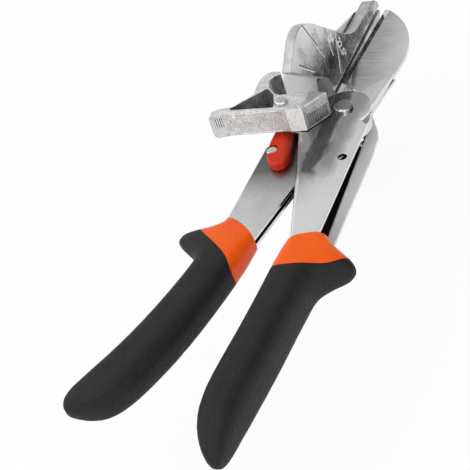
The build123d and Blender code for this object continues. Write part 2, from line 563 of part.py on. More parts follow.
def angle_stop():
    """The cast angle stop: a three-sided loop with a window that swings on the outer channel."""
    low = FRAME_TOP + STOP_WASHER
    outer = moved(places(STOP_SHARES, STOP_LENGTH, STOP_DEPTH), STOP_PIVOT)
    window = moved(places(STOP_WINDOW_SHARES, STOP_LENGTH, STOP_DEPTH), STOP_PIVOT)
    body = plate(outer, low, low + STOP_HEIGHT)
    upright = body.edges().filter_by(Axis.Z)
    corners = [edge for edge in upright if edge.center().X < STOP_PIVOT[0] or edge.center().Y < STOP_PIVOT[1]]
    body = fillet(corners, STOP_EDGE_RADIUS)
    body = fillet(body.edges().group_by(Axis.Z)[-1], STOP_EDGE_RADIUS)
    boss = moved(places(STOP_BOSS_SHARES, STOP_LENGTH, STOP_DEPTH), STOP_PIVOT)
    body += plate(boss, low, low + STOP_HEIGHT)
    body &= stop_front(outer, low)
    body -= plate(window, low - OVERRUN, low + STOP_HEIGHT + OVERRUN, STOP_CORNER_RADIUS / 2)
    body -= disc(STOP_PIVOT, STOP_RIVET_RADIUS + FIT, 0, FRAME_HEIGHT + STOP_HEIGHT)
    for groove in stop_grooves(outer, low + STOP_EDGE_RADIUS):
        body -= groove
    return body


def stop_front(outer, low):
    """The room that the stop fills as seen from the front: its free end has round corners."""
    along = (Vector(*outer[0]) - Vector(*outer[-1])).normalized()
    left = min(Vector(*point).dot(along) for point in outer)
    corner = along * left + Vector(0, 0, low + STOP_HEIGHT / 2)
    front = Plane(origin=corner, x_dir=along, z_dir=(along.Y, -along.X, 0))
    high = STOP_HEIGHT + 2 * STOP_EDGE_RADIUS
    face = RectangleRounded(2 * STOP_LENGTH, high, STOP_END_RADIUS, align=(Align.MIN, Align.CENTER))
    return extrude(front * face, amount=2 * STOP_LENGTH, both=True)


def stop_grooves(outer, low):
    """The upright grooves in the lower half of the stop's short front."""
    start, end = Vector(*outer[0]), Vector(*outer[1])
    along = (end - start).normalized()
    step = (end - start).length / (RIB_COUNT + 2)
    turn = math.degrees(math.atan2(along.Y, along.X)) + GROOVE_TURN
    side = 2 * RIB_DEPTH
    grooves = []
    for number in range(RIB_COUNT):
        spot = start + along * step * (number + 3 / 2)
        groove = Box(side, side, STOP_HEIGHT / 2, align=(Align.CENTER, Align.CENTER, Align.MIN))
        grooves.append(Pos(spot.X, spot.Y, low) * Rot(0, 0, turn) * groove)
    return grooves


def angle_stop_washer():
    """The washer that the angle stop turns on."""
    top = FRAME_TOP + STOP_WASHER - FIT
    return ring(STOP_PIVOT, STOP_HEAD_RADIUS, STOP_RIVET_RADIUS + FIT, FRAME_TOP, top)


def angle_stop_rivet():
    """The rivet that the angle stop swings on."""
    top = FRAME_TOP + STOP_WASHER + STOP_HEIGHT + FIT
    head = domed_head(STOP_PIVOT, STOP_HEAD_RADIUS, top, STOP_HEAD_HEIGHT)
    return head + disc(STOP_PIVOT, STOP_RIVET_RADIUS, FRAME_INSIDE, top)


def slopes(spots, values):
    """The slopes of a smooth line through values, level where they turn, so that it never overshoots."""
    steps = [(after - before) / (end - start)
             for start, end, before, after in zip(spots, spots[1:], values, values[1:])]
    inner = [0 if one * two <= 0 else 2 * one * two / (one + two) for one, two in zip(steps, steps[1:])]
    return steps[:1] + inner + steps[-1:]


def between(start, end, start_way, end_way, share):
    """A value part of the way between two, on a cubic with given slopes at both."""
    rise = end - start
    bend = 3 * rise - 2 * start_way - end_way
    turn = start_way + end_way - 2 * rise
    return start + share * (start_way + share * (bend + share * turn))


def refined(rows):
    """A table's rows with smooth rows put between them."""
    spots = [row[0] for row in rows]
    columns = list(zip(*rows))[1:]
    ways = [slopes(spots, column) for column in columns]
    found = []
    for number, (start, end) in enumerate(zip(spots, spots[1:])):
        for step in range(SECTION_STEPS):
            share = step / SECTION_STEPS
            row = [start + (end - start) * share]
            for column, way in zip(columns, ways):
                first, last = way[number] * (end - start), way[number + 1] * (end - start)
                row.append(between(column[number], column[number + 1], first, last, share))
            found.append(row)
    return found + [rows[-1]]


def half_section(middle, left, right, high):
    """The upper half of a section across a grip, rounder where a side reaches far."""
    points = []
    for number in range(SECTION_POINTS + 1):
        turn = math.pi * number / SECTION_POINTS
        reach = right if 2 * number < SECTION_POINTS else left
        taper = min(1, GRIP_HALF_WIDTH / reach) ** TAPER_SHARE
        power = 2 / max(TIP_SQUARENESS, GRIP_SQUARENESS * taper)
        across = math.copysign(abs(math.cos(turn)) ** power, math.cos(turn))
        points.append((middle + across * reach, high * abs(math.sin(turn)) ** power))
    return [(middle + right, 0)] + points[1:-1] + [(middle - left, 0)]


def grip_form(rows, width, half_height):
    """A grip and its collar as one form, from sections across the handle."""
    faces = []
    for along, middle, left, right, high in refined(rows):
        reaches = left * GRIP_HALF_WIDTH, right * GRIP_HALF_WIDTH
        upper = half_section(middle * width, *reaches, high * half_height)
        lower = [(x, -z) for x, z in reversed(upper)]
        section = Plane(origin=(0, along * HANDLE_LENGTH, 0), x_dir=(1, 0, 0), z_dir=(0, -1, 0))
        faces.append(section * make_face(Spline(*upper) + Spline(*lower)))
    return loft(faces, ruled=True)


def behind(points):
    """The space behind a curved line of the plan, towards the ends of the grips."""
    far = 2 * HANDLE_LENGTH
    start, end = points[0], points[-1]
    sides = Polyline(end, (far, end[1]), (far, -far), (-far, -far), (-far, start[1]), start)
    return Pos(0, 0, -far) * extrude(make_face(Spline(*points) + sides), amount=2 * far)


def sleeve(rows, width, half_height, front, room):
    """A grip and its collar as one form, with the handle's steel cut out of it."""
    form = grip_form(rows, width, half_height) & behind(places(front, width, HANDLE_LENGTH))
    return form - room


def two_tone(form, border, width):
    """A form parted into its grip behind the border and its collar in front of it."""
    zone = behind(places(border, width, HANDLE_LENGTH))
    return form & zone, form - zone


def build():
    """All the pieces by name."""
    frame = anvil_frame()
    arm = blade_frame()
    thick = sleeve(GRIP_SHARES, FRAME_WIDTH, GRIP_HALF_HEIGHT, GRIP_FRONT_SHARES, frame)
    slim = sleeve(SLIM_GRIP_SHARES, ARM_OFFSET, SLIM_GRIP_HALF_HEIGHT, SLIM_GRIP_FRONT_SHARES, arm)
    thick_grip, thick_collar = two_tone(thick, COLLAR_BORDER_SHARES, FRAME_WIDTH)
    slim_grip, slim_collar = two_tone(slim, SLIM_COLLAR_BORDER_SHARES, ARM_OFFSET)
    return {
        "anvil_frame": frame,
        "blade_frame": arm,
        "blade": blade(),
        "blade_pins": blade_pins(),
        "anvil_casting": anvil_casting(),
        "anvil_strip": anvil_strip(),
        "anvil_rivets": anvil_rivets(),
        "pivot_bolt": pivot_bolt(),
        "pivot_bush": pivot_bush(),
        "pivot_washer": pivot_washer(),
        "pivot_nut": pivot_nut(),
        "upper_spacer": upper_spacer(),
        "lower_spacer": lower_spacer(),
        "handle_spring": handle_spring(),
        "lock_lever": lock_lever(),
        "lock_lever_rivet": lock_lever_rivet(),
        "lock_lever_washer": lock_lever_washer(),
        "lock_catch": lock_catch(),
        "angle_stop": angle_stop(),
        "angle_stop_rivet": angle_stop_rivet(),
        "angle_stop_washer": angle_stop_washer(),
        "anvil_handle_grip": thick_grip,
        "anvil_handle_collar": thick_collar,
        "blade_handle_grip": slim_grip,
        "blade_handle_collar": slim_collar,
    }


def as_one(shape):
    """A piece, or a group of alike pieces, ready to be written."""
    if isinstance(shape, list):
        return Compound(children=[solid for piece in shape for solid in piece.solids()])
    return shape


os.makedirs("parts", exist_ok=True)
for name, shape in build().items():
    export_step(as_one(shape), f"parts/{name}.step")
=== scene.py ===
import math

import bmesh
import bpy
from mathutils import Matrix, Vector


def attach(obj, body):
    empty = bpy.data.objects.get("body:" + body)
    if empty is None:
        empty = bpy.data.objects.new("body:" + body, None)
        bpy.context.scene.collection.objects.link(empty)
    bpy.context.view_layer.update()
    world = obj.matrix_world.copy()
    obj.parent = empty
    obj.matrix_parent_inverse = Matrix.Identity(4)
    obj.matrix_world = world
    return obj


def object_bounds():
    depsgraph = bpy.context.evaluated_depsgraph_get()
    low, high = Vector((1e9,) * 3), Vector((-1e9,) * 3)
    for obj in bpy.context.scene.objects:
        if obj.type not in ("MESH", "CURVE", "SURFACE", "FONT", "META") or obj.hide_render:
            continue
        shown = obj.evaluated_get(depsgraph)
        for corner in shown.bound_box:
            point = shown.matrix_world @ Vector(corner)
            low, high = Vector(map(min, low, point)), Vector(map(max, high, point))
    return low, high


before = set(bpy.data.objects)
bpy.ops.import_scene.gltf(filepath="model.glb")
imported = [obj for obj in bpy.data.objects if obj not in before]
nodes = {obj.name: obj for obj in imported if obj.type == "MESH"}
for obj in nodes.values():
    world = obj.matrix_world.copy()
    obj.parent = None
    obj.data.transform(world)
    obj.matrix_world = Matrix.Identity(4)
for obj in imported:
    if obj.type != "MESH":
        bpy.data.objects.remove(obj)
cad_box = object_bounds()

MM = 0.001

# Camera, from the corners of the object in the photograph
CAMERA_AZIMUTH = math.radians(37.992)
CAMERA_ELEVATION = math.radians(41.28)
CAMERA_ROLL = math.radians(-21.485)
CAMERA_PLACE = Vector((157.38, -310.39, 261.46)) * MM
CAMERA_LENS = 71.44
CAMERA_CLIP = (0.01, 10)
SENSOR_WIDTH = 36.0


def camera_turn():
    """The camera's right, up and back directions as the columns of a turn."""
    a, e, r = CAMERA_AZIMUTH, CAMERA_ELEVATION, CAMERA_ROLL
    back = Vector((math.sin(a) * math.cos(e), -math.cos(a) * math.cos(e), math.sin(e)))
    level = Vector((math.cos(a), math.sin(a), 0))
    upright = back.cross(level)
    right = level * math.cos(r) + upright * math.sin(r)
    up = upright * math.cos(r) - level * math.sin(r)
    return Matrix((right, up, back)).transposed()


def add_camera():
    """The camera at the photograph's viewing angle."""
    data = bpy.data.cameras.new("camera")
    data.lens = CAMERA_LENS
    data.sensor_width = SENSOR_WIDTH
    data.clip_start, data.clip_end = CAMERA_CLIP
    camera = bpy.data.objects.new("camera", data)
    camera.matrix_world = Matrix.Translation(CAMERA_PLACE) @ camera_turn().to_4x4()
    bpy.context.scene.collection.objects.link(camera)
    bpy.context.scene.camera = camera


# The sockets of a Mix node that carry its share and its colours
MIX_SOCKETS = (0, 6, 7)
MIX_RESULT = 2


class Tree:
    """A node tree, its coordinates and short ways to add nodes."""

    def __init__(self, tree, coordinates):
        self.tree = tree
        self.coordinates = self.node("ShaderNodeTexCoord")
        self.place = self.coordinates.outputs[coordinates]

    def node(self, kind, **values):
        """A new node with some of its properties set."""
        made = self.tree.nodes.new(kind)
        for name, value in values.items():
            setattr(made, name, value)
        return made

    def found(self, name):
        """A node that the tree starts with."""
        return self.tree.nodes[name]

    def link(self, source, target):
        """Links an output to an input."""
        self.tree.links.new(source, target)

    def fill(self, socket, value):
        """Links an input to another node's output, or gives it a value."""
        if isinstance(value, bpy.types.NodeSocket):
            self.link(value, socket)
        else:
            socket.default_value = value

    def math(self, operation, *terms):
        """The result of an operation on values and numbers."""
        made = self.node("ShaderNodeMath", operation=operation)
        for socket, term in zip(made.inputs, terms):
            self.fill(socket, term)
        return made.outputs[0]

    def vector(self, operation, first, second, result="Vector"):
        """The result of an operation on two vectors or colours."""
        made = self.node("ShaderNodeVectorMath", operation=operation)
        self.fill(made.inputs[0], first)
        self.fill(made.inputs[1], second)
        return made.outputs[result]

    def product(self, first, *others):
        """Values and numbers multiplied."""
        for other in others:
            first = self.math("MULTIPLY", first, other)
        return first

    def sum(self, first, second, share):
        """Two values added, the second one in a share."""
        return self.math("ADD", first, self.product(second, share))

    def length(self, first, second):
        """The length of the line over two sides at a right angle."""
        return self.math("SQRT", self.math("ADD", self.product(first, first), self.product(second, second)))

    def range(self, source, within=(0.0, 1.0), to=(0.0, 1.0)):
        """A value moved from one range to another, and held inside it."""
        made = self.node("ShaderNodeMapRange")
        for socket, value in zip(("From Min", "From Max", "To Min", "To Max"), (*within, *to)):
            made.inputs[socket].default_value = value
        self.link(source, made.inputs["Value"])
        return made.outputs["Result"]

    def ramp(self, source, stops):
        """A colour ramp from (place, colour) stops; a number stands for a grey."""
        made = self.node("ShaderNodeValToRGB")
        elements = made.color_ramp.elements
        while len(elements) < len(stops):
            elements.new(0.5)
        for element, (place, colour) in zip(elements, stops):
            element.position = place
            element.color = (*(colour if isinstance(colour, tuple) else (colour, colour, colour)), 1.0)
        self.link(source, made.inputs["Fac"])
        return made.outputs["Color"]

    def mixed(self, share, first, second):
        """A colour between two colours."""
        made = self.node("ShaderNodeMix", data_type="RGBA")
        for socket, value in zip(MIX_SOCKETS, (share, first, second)):
            self.fill(made.inputs[socket], (*value, 1.0) if isinstance(value, tuple) else value)
        return made.outputs[MIX_RESULT]

    def noise(self, scale, detail=4.0, roughness=0.55, stretch=None):
        """Noise with a scale in features per metre, or per unit of a direction."""
        place = self.place
        if stretch:
            mapping = self.node("ShaderNodeMapping")
            mapping.inputs["Scale"].default_value = stretch
            self.link(place, mapping.inputs["Vector"])
            place = mapping.outputs["Vector"]
        made = self.node("ShaderNodeTexNoise")
        made.inputs["Scale"].default_value = scale
        made.inputs["Detail"].default_value = detail
        made.inputs["Roughness"].default_value = roughness
        self.link(place, made.inputs["Vector"])
        return made.outputs["Fac"]


# The range that most of a noise's values lie in
NOISE_SPREAD = (0.3, 0.7)
# How far a recess is open, from one that gets the full painted shade to one that gets none
SHADE_OPENNESS = (0.2, 0.75)
PAINTED_SHADE_COLOUR = (0.05, 0.05, 0.05)
SHADING_SAMPLES = 6


class Paint(Tree):
    """A material under construction. Its colour and numbers hold wherever no node takes their place."""

    def __init__(self, name, colour, roughness, metallic=0.0):
        self.material = bpy.data.materials.new(name)
        self.material.use_nodes = True
        super().__init__(self.material.node_tree, "Object")
        self.shader = self.found("Principled BSDF")
        self.set("Base Color", (*colour, 1.0))
        self.set("Roughness", roughness)
        self.set("Metallic", metallic)
        self.normal = None

    def set(self, socket, value):
        """Gives one of the shader's inputs a value or a link."""
        self.fill(self.shader.inputs[socket], value)

    def axes(self):
        """The three coordinates of a point on the object."""
        made = self.node("ShaderNodeSeparateXYZ")
        self.link(self.place, made.inputs[0])
        return made.outputs

    def facing(self):
        """How far the surface looks along each axis, from -1 to 1."""
        made = self.node("ShaderNodeSeparateXYZ")
        self.link(self.coordinates.outputs["Normal"], made.inputs[0])
        return made.outputs

    def cells(self, scale):
        """Cell texture with a scale in cells per metre."""
        made = self.node("ShaderNodeTexVoronoi")
        made.inputs["Scale"].default_value = scale
        self.link(self.place, made.inputs["Vector"])
        return made.outputs["Distance"]

    def shaded_recesses(self, tint, reach):
        """A colour with painted shade in the recesses, which are looked for within a reach in metres."""
        made = self.node("ShaderNodeAmbientOcclusion", samples=SHADING_SAMPLES)
        made.inputs["Distance"].default_value = reach
        # Painted shade: the colour darkens to a very dark grey where ambient occlusion finds a closed
        # recess.
        return self.mixed(self.range(made.outputs["AO"], SHADE_OPENNESS), PAINTED_SHADE_COLOUR, tint)

    def rounded(self, radius):
        """Rounds the sharp edges' shading by a radius in metres."""
        made = self.node("ShaderNodeBevel", samples=SHADING_SAMPLES)
        made.inputs["Radius"].default_value = radius
        self.normal = made.outputs["Normal"]
        return self

    def bump(self, source, depth, strength):
        """Adds relief of a depth in metres."""
        made = self.node("ShaderNodeBump")
        made.inputs["Distance"].default_value = depth
        made.inputs["Strength"].default_value = strength
        self.link(source, made.inputs["Height"])
        if self.normal:
            self.link(self.normal, made.inputs["Normal"])
        self.normal = made.outputs["Normal"]
        return self

    def done(self):
        """Links the normal and hands the material over."""
        if self.normal:
            self.link(self.normal, self.shader.inputs["Normal"])
        return self.material


# The outer channel's inside: half its gap, the line where the painted shade ends, and the hang hole, which
# gets painted shade too
CHANNEL_INSIDE = 7.8 * MM
RIM_SLOPE = 0.0586
RIM_PLACE = 7.5 * MM
RIM_FADE = 0.4 * MM
RIM_TOP = 12 * MM
HANG_HOLE = (10.23 * MM, -32.76 * MM)
HANG_RADIUS = 2.2 * MM
HANG_DEPTH = 8.85 * MM
# How far a face looks along an axis at least, to count as one that looks that way
LOOKS_ALONG = 0.6
CHANNEL_SHADE_COLOUR = (0.008, 0.008, 0.009)
CHANNEL_LIGHT_COLOUR = (0.94, 0.94, 0.93)


def channel_masks(paint):
    """Where the channel's inside and the hang hole get dark painted shade, and where its inner faces get
    light, dull painted light.
    """
    x, y, z = paint.axes()
    facing_x, _, facing_z = paint.facing()
    height = paint.math("ABSOLUTE", z)
    inside = paint.math("LESS_THAN", height, CHANNEL_INSIDE)
    inside = paint.product(inside, paint.math("LESS_THAN", y, RIM_TOP))
    near_side = paint.math("LESS_THAN", facing_z, -LOOKS_ALONG)
    far_side = paint.math("GREATER_THAN", facing_z, LOOKS_ALONG)
    web = paint.math("GREATER_THAN", facing_x, LOOKS_ALONG)
    deep = paint.range(paint.sum(x, y, RIM_SLOPE), (RIM_PLACE - RIM_FADE, RIM_PLACE + RIM_FADE), (1.0, 0.0))
    beyond = paint.math("SUBTRACT", 1.0, deep)
    painted_shade = paint.product(inside, deep, paint.math("MAXIMUM", far_side, web))
    painted_light = paint.math("MAXIMUM", near_side, paint.product(far_side, beyond))
    reach = paint.length(paint.math("SUBTRACT", x, HANG_HOLE[0]), paint.math("SUBTRACT", y, HANG_HOLE[1]))
    hole = paint.math("LESS_THAN", reach, HANG_RADIUS)
    hole = paint.product(hole, paint.math("LESS_THAN", height, HANG_DEPTH))
    return paint.math("MAXIMUM", painted_shade, hole), paint.product(painted_light, inside)


# Areas of painted shade, dark bands on the outer channel's near face, on the inner channel and on the
# bolt's head, in
# millimetres: where each starts and ends across the tool, where it starts along it, and how dark it is
BAND_SHADE_COLOUR = (0.045, 0.045, 0.045)
THICK_SHADE_BAND = ((-9.0, -6.0), (0.0, 3.0), (-49.0, -43.0), 0.88)
THIN_SHADE_BAND = ((0.0, 3.0), (6.0, 11.0), (-47.0, -37.0), 0.42)
FOOT_SHADE_BAND = ((-15.0, -12.0), (-7.0, -4.0), (-51.0, -46.0), 0.60)
INNER_CHANNEL_SHADE_BAND = ((-60.0, -50.0), (-5.0, -1.0), (-56.0, -38.0), 0.80)
BOLT_SHADE_BAND = ((-20.0, -19.0), (3.9, 5.0), (-4.6, -3.6), 0.60)
SHADE_BAND_LOW = 1.8 * MM
# How far the areas' edges wander across the tool and along it
WANDER_ACROSS = 1.2 * MM
WANDER_ALONG = 3 * MM


def shade_band_amount(paint, smears, areas):
    """How much painted shade from the dark bands lies at a point."""
    x, y, z = paint.axes()
    wander = paint.noise(scale=160, detail=5)
    x = paint.math("ADD", x, paint.range(wander, NOISE_SPREAD, (-WANDER_ACROSS, WANDER_ACROSS)))
    y = paint.math("ADD", y, paint.range(smears, NOISE_SPREAD, (-WANDER_ALONG, WANDER_ALONG)))
    total = None
    for start, end, foot, amount in areas:
        inner = paint.range(x, (start[0] * MM, start[1] * MM), (0.0, amount))
        outer = paint.range(x, (end[0] * MM, end[1] * MM), (1.0, 0.0))
        along = paint.range(y, (foot[0] * MM, foot[1] * MM))
        area = paint.product(inner, outer, along)
        total = paint.math("MAXIMUM", total, area) if total else area
    return paint.product(total, paint.math("GREATER_THAN", z, SHADE_BAND_LOW))


# Polished sheet: how its noises are mixed, and what specks, the dark bands of painted shade, and the
# channel's painted shade and dull painted light do to the polish
SHEET_COLOUR = (0.74, 0.74, 0.74)
SHEET_TINTS = [(0.4, 0.64), (0.8, 0.80)]
SHEET_SMEARS = 0.8
SHEET_SPECKS = 0.35
SHEET_WEAR = (0.5, 1.3)
SPECK_WEAR = (0.60, 0.74)
SPECK_ROUGHNESS = 0.10
BAND_SHADE_ROUGHNESS = 0.2
INSIDE_ROUGHNESS = 0.4
CHANNEL_LIGHT_DULLNESS = 0.95


def polished_steel(name, roughness, shade_bands, channel=False):
    """Polished sheet, slightly wavy, with rolling lines and smears, dark bands of painted shade, and
    painted shade and painted light inside the channel.
    """
    paint = Paint(name, SHEET_COLOUR, roughness[0], metallic=1.0)
    lines = paint.noise(scale=900, stretch=(1.0, 0.06, 1.0))
    smears = paint.noise(scale=45, detail=5)
    specks = paint.noise(scale=700, detail=6, roughness=0.7)
    rough = paint.range(paint.sum(lines, smears, SHEET_SMEARS), SHEET_WEAR, roughness)
    rough = paint.math("ADD", rough, paint.range(specks, SPECK_WEAR, (0.0, SPECK_ROUGHNESS)))
    tint = paint.ramp(paint.sum(smears, specks, SHEET_SPECKS), SHEET_TINTS)
    band_shade = shade_band_amount(paint, smears, shade_bands)
    # Painted shade: the dark bands darken the tint and roughen it where the areas lie.
    tint = paint.mixed(band_shade, tint, BAND_SHADE_COLOUR)
    rough = paint.sum(rough, band_shade, BAND_SHADE_ROUGHNESS)
    if channel:
        painted_shade, painted_light = channel_masks(paint)
        # Painted shade and painted light: very dark deep inside the channel, light and dull on its inner
        # faces.
        tint = paint.mixed(painted_light, paint.mixed(painted_shade, tint, CHANNEL_SHADE_COLOUR), CHANNEL_LIGHT_COLOUR)
        rough = paint.sum(rough, paint.math("MAXIMUM", painted_shade, painted_light), INSIDE_ROUGHNESS)
        paint.set("Metallic", paint.math("SUBTRACT", 1.0, paint.product(painted_light, CHANNEL_LIGHT_DULLNESS)))
    paint.set("Roughness", rough)
    paint.set("Base Color", tint)
    waves = paint.noise(scale=30, detail=1)
    paint.rounded(0.3 * MM).bump(waves, depth=0.12 * MM, strength=0.3)
    return paint.bump(lines, depth=0.004 * MM, strength=0.3).done()


# The blade: tints, the smears' share beside the grinding lines, and the roughness that the two give
BLADE_TINTS = [(0.3, 0.66), (0.7, 0.78)]
BLADE_SMEARS = 0.6
BLADE_WEAR = (0.4, 1.1)
BLADE_ROUGHNESS = (0.06, 0.20)


def blade_steel():
    """Ground blade steel, with its grinding lines across the blade."""
    paint = Paint("blade_steel", (0.74, 0.74, 0.74), roughness=0.12, metallic=1.0)
    lines = paint.noise(scale=1400, stretch=(0.05, 1.0, 1.0))
    smears = paint.noise(scale=60, detail=5)
    paint.set("Roughness", paint.range(paint.sum(lines, smears, BLADE_SMEARS), BLADE_WEAR, BLADE_ROUGHNESS))
    paint.set("Base Color", paint.ramp(smears, BLADE_TINTS))
    waves = paint.noise(scale=25, detail=1)
    paint.rounded(0.15 * MM).bump(waves, depth=0.3 * MM, strength=0.3)
    return paint.bump(lines, depth=0.008 * MM, strength=0.3).done()


# The anvil casting: the tints of its table near the slot and away from it, and those of its cast skin; then
# the lumps' share in them, where the clean part starts, and which faces count as the table
MOTTLED_TINTS = [(0.68, 0.05), (1.0, (0.52, 0.52, 0.51))]
CLEAN_TINTS = [(0.5, (0.56, 0.56, 0.55)), (1.0, (0.72, 0.72, 0.71))]
SKIN_TINTS = [(0.55, 0.30), (1.0, (0.56, 0.56, 0.55))]
MOTTLED_LUMPS = 0.7
CLEAN_LUMPS = 0.6
CLEAN_HEIGHTS = (14 * MM, 38 * MM)
CLEAN_WANDER = 12 * MM
TABLE_FACING = (0.90, 0.97)
TABLE_ROUGHNESS = (0.16, 0.36)
SKIN_ROUGHNESS = 0.25
SKIN_METAL = 0.6
WING_RECESS = 4 * MM


def wing_alloy():
    """The anvil casting: an orange-peeled polished table, darker towards the slot, a dull cast skin, and
    painted shade in its recesses.
    """
    paint = Paint("wing_alloy", (0.66, 0.66, 0.65), roughness=0.18, metallic=1.0)
    lumps = paint.noise(scale=520, detail=8, roughness=0.72)
    patches = paint.noise(scale=110, detail=6)
    height = paint.math("ABSOLUTE", paint.axes()[2])
    away = paint.range(paint.sum(height, patches, CLEAN_WANDER), CLEAN_HEIGHTS)
    blotches = paint.sum(patches, lumps, MOTTLED_LUMPS)
    mottled = paint.ramp(blotches, MOTTLED_TINTS)
    clean = paint.ramp(paint.sum(patches, lumps, CLEAN_LUMPS), CLEAN_TINTS)
    table = paint.range(paint.facing()[0], TABLE_FACING)
    tint = paint.mixed(table, paint.ramp(blotches, SKIN_TINTS), paint.mixed(away, mottled, clean))
    # Painted shade in the casting's recesses.
    paint.set("Base Color", paint.shaded_recesses(tint, WING_RECESS))
    polish = paint.range(lumps, NOISE_SPREAD, TABLE_ROUGHNESS)
    paint.set("Roughness", paint.math("ADD", polish, paint.range(table, to=(SKIN_ROUGHNESS, 0.0))))
    paint.set("Metallic", paint.range(table, to=(SKIN_METAL, 1.0)))
    return paint.rounded(0.9 * MM).bump(lumps, depth=0.12 * MM, strength=0.6).done()


# The line of the angle stop's outer wall, how far behind it the painted shade on the inner faces starts,
# and how it looks
WALL_SLOPE = 0.168
WALL_PLACE = -14.63 * MM
INNER_SHADE_START = 3 * MM
INNER_SHADE_RIGHT = -14 * MM
INNER_SHADE_UPRIGHT = 0.5
INNER_SHADE_INWARD = -0.2
INNER_SHADE_SPREAD = (0.35, 0.65)
INNER_SHADE_AMOUNT = (0.60, 0.92)


def inner_face_shade(paint, rumples):
    """Painted shade on the inner faces of the angle stop's loop."""
    x, y, _ = paint.axes()
    _, facing_y, facing_z = paint.facing()
    behind = paint.math("SUBTRACT", y, paint.product(x, WALL_SLOPE))
    behind = paint.math("GREATER_THAN", behind, WALL_PLACE + INNER_SHADE_START)
    upright = paint.math("LESS_THAN", paint.math("ABSOLUTE", facing_z), INNER_SHADE_UPRIGHT)
    inward = paint.math("LESS_THAN", facing_y, INNER_SHADE_INWARD)
    left = paint.math("LESS_THAN", x, INNER_SHADE_RIGHT)
    return paint.product(behind, upright, inward, left, paint.range(rumples, INNER_SHADE_SPREAD, INNER_SHADE_AMOUNT))


# The angle stop: tints, the rumples' share in them, roughness, and how far its recesses reach
STOP_TINTS = [(0.53, (0.36, 0.36, 0.355)), (0.69, (0.82, 0.82, 0.81))]
STOP_RUMPLES = 0.25
STOP_ROUGHNESS = (0.28, 0.52)
STOP_RECESS = 7 * MM
# The flange on the right is brighter metal than the loop
FLANGE_PLACE = (-13 * MM, -11 * MM)
FLANGE_METAL = (0.25, 1.0)


def stop_alloy():
    """Cast zinc as it left the die: satin, pitted and slightly rumpled, with painted shade on the loop's
    inner faces and in its recesses.
    """
    paint = Paint("stop_alloy", (0.70, 0.70, 0.69), roughness=0.45, metallic=0.5)
    pits = paint.noise(scale=1500, detail=8, roughness=0.8)
    rumples = paint.noise(scale=230, roughness=0.6)
    tint = paint.ramp(paint.sum(pits, rumples, STOP_RUMPLES), STOP_TINTS)
    # Painted shade: the loop's inner faces are darkened to a very dark grey.
    tint = paint.mixed(inner_face_shade(paint, rumples), tint, PAINTED_SHADE_COLOUR)
    # Painted shade in the stop's recesses.
    paint.set("Base Color", paint.shaded_recesses(tint, STOP_RECESS))
    paint.set("Roughness", paint.range(pits, NOISE_SPREAD, STOP_ROUGHNESS))
    paint.set("Metallic", paint.range(paint.axes()[0], FLANGE_PLACE, FLANGE_METAL))
    paint.rounded(0.6 * MM).bump(rumples, depth=0.25 * MM, strength=0.5)
    return paint.bump(pits, depth=0.22 * MM, strength=0.75).done()


def even_finish(paint, noise, tints, depth, strength):
    """Finishes a material from one noise, which drives its tint and its relief."""
    paint.set("Base Color", paint.ramp(noise, tints))
    return paint.bump(noise, depth, strength).done()


def plated():
    """Plated fasteners."""
    paint = Paint("plated", (0.72, 0.72, 0.71), roughness=0.2, metallic=1.0).rounded(0.15 * MM)
    smears = paint.noise(scale=400, detail=5)
    paint.set("Roughness", paint.range(smears, NOISE_SPREAD, (0.14, 0.34)))
    tints = [(0.3, (0.62, 0.62, 0.61)), (0.7, (0.80, 0.80, 0.79))]
    return even_finish(paint, smears, tints, depth=0.04 * MM, strength=0.3)


def spring_steel():
    """Drawn spring wire under a film of oil."""
    paint = Paint("spring_steel", (0.35, 0.35, 0.36), roughness=0.3, metallic=1.0)
    tints = [(0.3, (0.24, 0.24, 0.25)), (0.7, (0.46, 0.46, 0.47))]
    return even_finish(paint, paint.noise(scale=600), tints, depth=0.02 * MM, strength=0.4)


def matte_plastic():
    """Grey plastic for washers and the strip in the slot."""
    paint = Paint("matte_plastic", (0.16, 0.16, 0.17), roughness=0.5)
    tints = [(0.3, (0.12, 0.12, 0.13)), (0.7, (0.20, 0.20, 0.21))]
    return even_finish(paint, paint.noise(scale=500), tints, depth=0.05 * MM, strength=0.3)


def worn_tops_and_highlights(name, low=0.60, high=0.95):
    """The bright worn tops of raised numbers and ribs, and bright painted highlights beside the lines and
    on the stop's corner pad.
    """
    paint = Paint(name, (0.90, 0.90, 0.89), roughness=0.4, metallic=0.1)
    tints = [(0.33, low), (0.48, high)]
    return even_finish(paint, paint.noise(scale=1500), tints, depth=0.03 * MM, strength=0.4)


def ridge_shade():
    """Painted shade between the grip ridges: a dark bed under the bars."""
    paint = Paint("ridge_shade", (0.05, 0.05, 0.05), roughness=0.6, metallic=0.3)
    specks = paint.noise(scale=1500, detail=5)
    tints = [(0.35, 0.025), (0.7, 0.10)]
    return even_finish(paint, specks, tints, depth=0.03 * MM, strength=0.5)


# Moulded plastic: dark and light tints, and how far its skin is smoother and rougher than its mean
ORANGE_TINTS = [(0.25, (0.82, 0.095, 0.003)), (0.75, (0.92, 0.122, 0.004))]
RED_TINTS = [(0.25, (0.46, 0.020, 0.004)), (0.75, (0.70, 0.040, 0.006))]
GLOSS_WEAR = (0.75, 1.3)
GLOSS_SPECULAR = 0.2
# The lever's painted shade, which thickens over a slanted band, and what its red bounce on the casting
# fades to
LEVER_SHADE_COLOUR = (0.04, 0.004, 0.002)
LEVER_SHADE_SLOPE = 0.35
LEVER_SHADE_FADE = (-30.5 * MM, -25.5 * MM)
LEVER_SHADE_AMOUNT = 0.92
BOUNCED = (0.30, 0.28, 0.27)
BOUNCED_SHARE = 0.85


